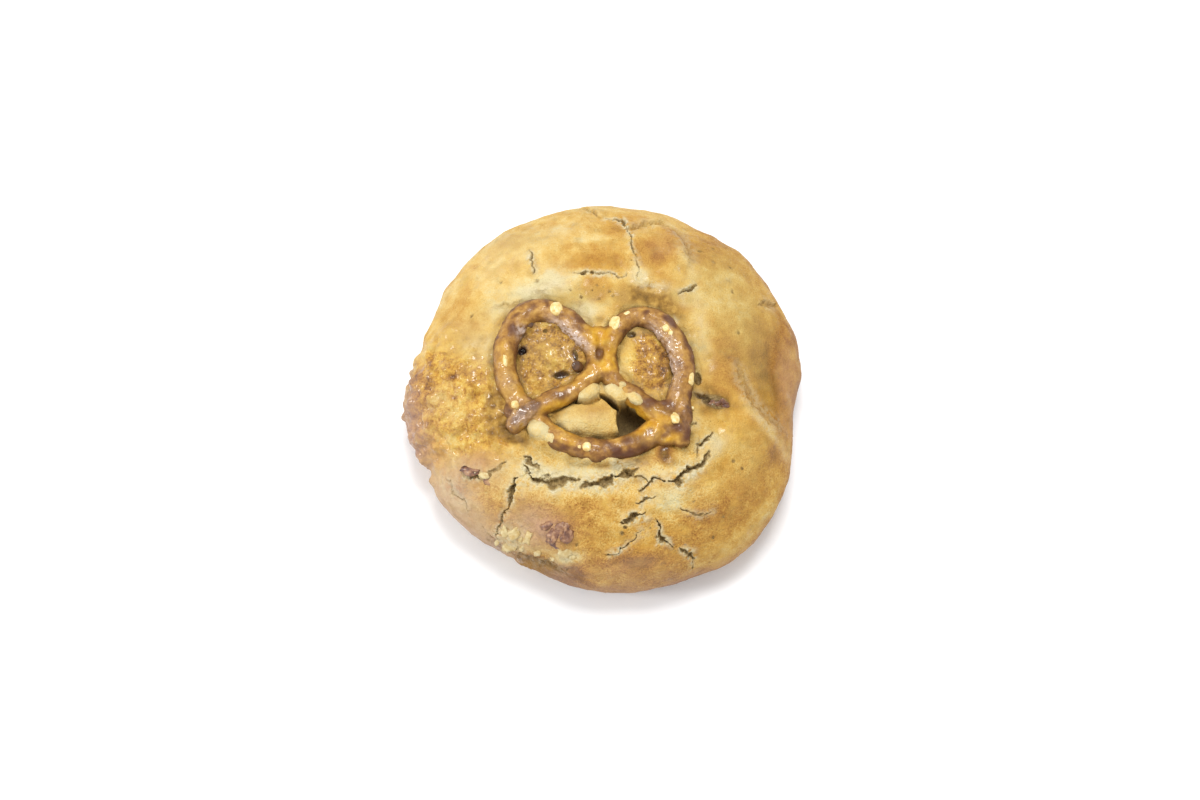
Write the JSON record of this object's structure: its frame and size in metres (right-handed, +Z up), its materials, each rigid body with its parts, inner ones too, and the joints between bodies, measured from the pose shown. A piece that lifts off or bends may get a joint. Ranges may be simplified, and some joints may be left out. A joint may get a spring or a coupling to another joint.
{
  "type": "peanut butter cookie",
  "caption": "Round domed peanut butter cookie with a cracked golden crust, a caramelised side and a small salted pretzel baked into its top",
  "frame": {"origin": "on the table, below the middle of the cookie", "axes": "+Z up, the pretzel's two upper lobes toward +Y and its crossed ends toward -Y, as the picture shows them from above"},
  "size_m": [0.0822, 0.081, 0.0285],
  "materials": {
    "crust": "matte baked crust, golden to brown",
    "pretzel": "glossy brown baked skin with salt"
  },
  "bodies": {
    "root": {"cookie": "crust", "pretzel": "pretzel"}
  },
  "joints": []
}
